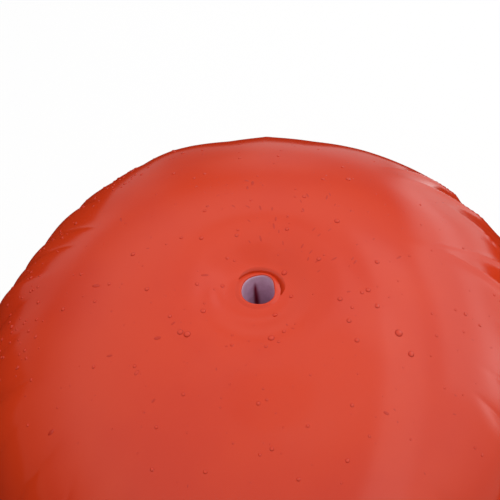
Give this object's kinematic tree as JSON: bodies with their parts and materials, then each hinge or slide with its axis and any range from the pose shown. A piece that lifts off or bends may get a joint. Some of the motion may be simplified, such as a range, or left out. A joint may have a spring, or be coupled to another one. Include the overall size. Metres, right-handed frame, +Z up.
{
  "type": "inflatable signal buoy float",
  "caption": "Round inflated signal buoy float with a mast sleeve through its middle, towing rings on its bottom panel and a capped valve.",
  "frame": {"origin": "under the middle of the float, on the surface that it stands on", "axes": "+Z up along the mast sleeve, -Y towards the front towing ring, +X towards the right towing ring"},
  "size_m": [0.3839, 0.384, 0.244],
  "materials": {
    "coated_fabric": "red-orange coated fabric, soft sheen",
    "sleeve_fabric": "pale lavender uncoated side of the fabric, matt",
    "strap_fabric": "red coated strap, soft sheen",
    "ring_steel": "polished stainless wire",
    "valve_plastic": "black moulded plastic, satin",
    "valve_rubber": "black rubber flap, matt"
  },
  "bodies": {
    "float": {"top_panel": "coated_fabric", "bottom_panel": "coated_fabric", "mast_sleeve": "sleeve_fabric", "top_collar": "coated_fabric", "bottom_collar": "coated_fabric", "right_ring_patch": "coated_fabric", "right_ring_strap": "strap_fabric", "back_ring_patch": "coated_fabric", "back_ring_strap": "strap_fabric", "left_ring_patch": "coated_fabric", "left_ring_strap": "strap_fabric", "front_ring_patch": "coated_fabric", "front_ring_strap": "strap_fabric", "valve_patch": "coated_fabric", "valve_body": "valve_plastic", "valve_flap": "valve_rubber", "cap_tether": "valve_plastic"},
    "right_d_ring": {"right_d_ring": "ring_steel"},
    "back_d_ring": {"back_d_ring": "ring_steel"},
    "left_d_ring": {"left_d_ring": "ring_steel"},
    "front_d_ring": {"front_d_ring": "ring_steel"},
    "valve_cap": {"valve_cap": "valve_plastic"}
  },
  "joints": [
    {"name": "right_ring_hinge", "type": "hinge", "parent": "float", "child": "right_d_ring", "pos_m": [0.17752, 0, 0.06731], "axis": [0, -1, 0], "range_deg": [-20, 140]},
    {"name": "back_ring_hinge", "type": "hinge", "parent": "float", "child": "back_d_ring", "pos_m": [0, 0.17752, 0.06731], "axis": [1, 0, 0], "range_deg": [-20, 140]},
    {"name": "left_ring_hinge", "type": "hinge", "parent": "float", "child": "left_d_ring", "pos_m": [-0.17752, 0, 0.06731], "axis": [0, 1, 0], "range_deg": [-20, 140]},
    {"name": "front_ring_hinge", "type": "hinge", "parent": "float", "child": "front_d_ring", "pos_m": [0, -0.17752, 0.06731], "axis": [-1, 0, 0], "range_deg": [-20, 140]},
    {"name": "valve_cap_hinge", "type": "hinge", "parent": "float", "child": "valve_cap", "pos_m": [0.09331, -0.16161, 0.17525], "axis": [-0.866, -0.5, 0], "range_deg": [0, 150]}
  ]
}
